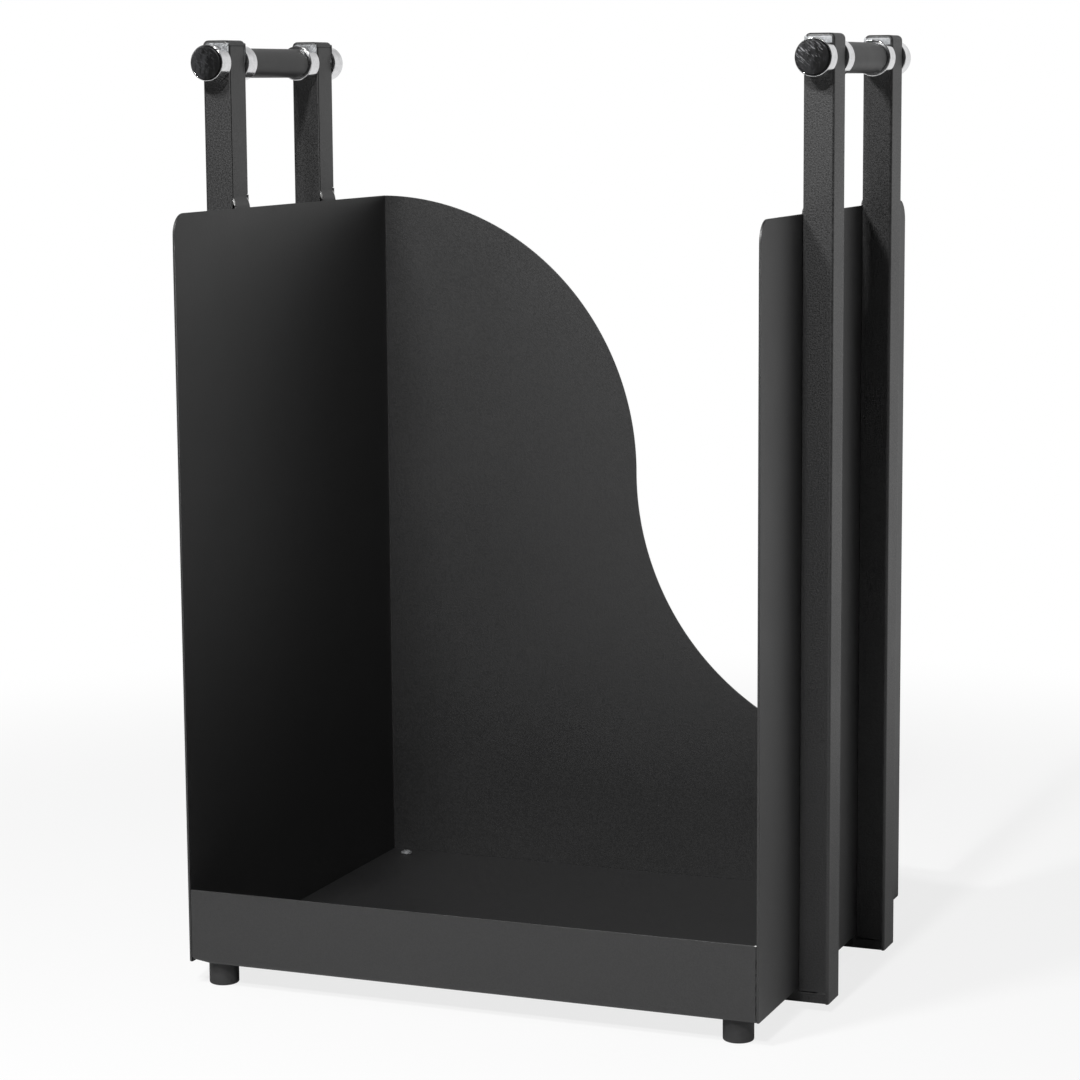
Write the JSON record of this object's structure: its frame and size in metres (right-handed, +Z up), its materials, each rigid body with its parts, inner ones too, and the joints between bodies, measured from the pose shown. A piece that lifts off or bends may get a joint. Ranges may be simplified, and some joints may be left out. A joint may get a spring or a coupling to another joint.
{
  "type": "firewood log rack",
  "caption": "Open-fronted sheet-steel log bin with a curved back, carried by two U-shaped channel frames with a turning carry grip on each side, on round feet.",
  "frame": {"origin": "middle of the footprint, on the ground under the feet", "axes": "+Z up, -Y is the open front with the lip, +X is the side where the back edge is low"},
  "size_m": [0.4442, 0.33, 0.628],
  "materials": {
    "bin_paint": "matt, finely textured anthracite powder coat on 1.5 mm sheet",
    "frame_paint": "matt, finely textured anthracite powder coat on folded channel",
    "grip_paint": "satin anthracite coated tube",
    "collar_chrome": "turned and chrome plated",
    "block_zinc": "zinc plated, mottled, with fine slanting tool marks",
    "rod_steel": "drawn bright steel",
    "end_cap_black": "blackened, with fine slanting scratches",
    "foot_rubber": "matt moulded rubber",
    "screw_zinc": "bright zinc"
  },
  "bodies": {
    "rack": {"floor_tray": "bin_paint", "back_panel": "bin_paint", "left_side_panel": "bin_paint", "right_side_panel": "bin_paint", "front_crossmember": "frame_paint", "front_left_upright": "frame_paint", "front_left_bearing_block": "block_zinc", "front_right_upright": "frame_paint", "front_right_bearing_block": "block_zinc", "rear_crossmember": "frame_paint", "rear_left_upright": "frame_paint", "rear_left_bearing_block": "block_zinc", "rear_right_upright": "frame_paint", "rear_right_bearing_block": "block_zinc", "left_handle_rod": "rod_steel", "front_left_inner_collar": "collar_chrome", "front_left_outer_collar": "collar_chrome", "front_left_end_cap": "end_cap_black", "front_left_foot": "foot_rubber", "front_left_foot_screw": "screw_zinc", "rear_left_inner_collar": "collar_chrome", "rear_left_outer_collar": "collar_chrome", "rear_left_end_cap": "end_cap_black", "rear_left_foot": "foot_rubber", "rear_left_foot_screw": "screw_zinc", "right_handle_rod": "rod_steel", "front_right_inner_collar": "collar_chrome", "front_right_outer_collar": "collar_chrome", "front_right_end_cap": "end_cap_black", "front_right_foot": "foot_rubber", "front_right_foot_screw": "screw_zinc", "rear_right_inner_collar": "collar_chrome", "rear_right_outer_collar": "collar_chrome", "rear_right_end_cap": "end_cap_black", "rear_right_foot": "foot_rubber", "rear_right_foot_screw": "screw_zinc"},
    "left_grip": {"left_grip_sleeve": "grip_paint"},
    "right_grip": {"right_grip_sleeve": "grip_paint"}
  },
  "joints": [
    {"name": "left_grip_turn", "type": "hinge", "parent": "rack", "child": "left_grip", "pos_m": [-0.21015, 0, 0.613], "axis": [0, 1, 0], "continuous": true},
    {"name": "right_grip_turn", "type": "hinge", "parent": "rack", "child": "right_grip", "pos_m": [0.21015, 0, 0.613], "axis": [0, 1, 0], "continuous": true}
  ]
}
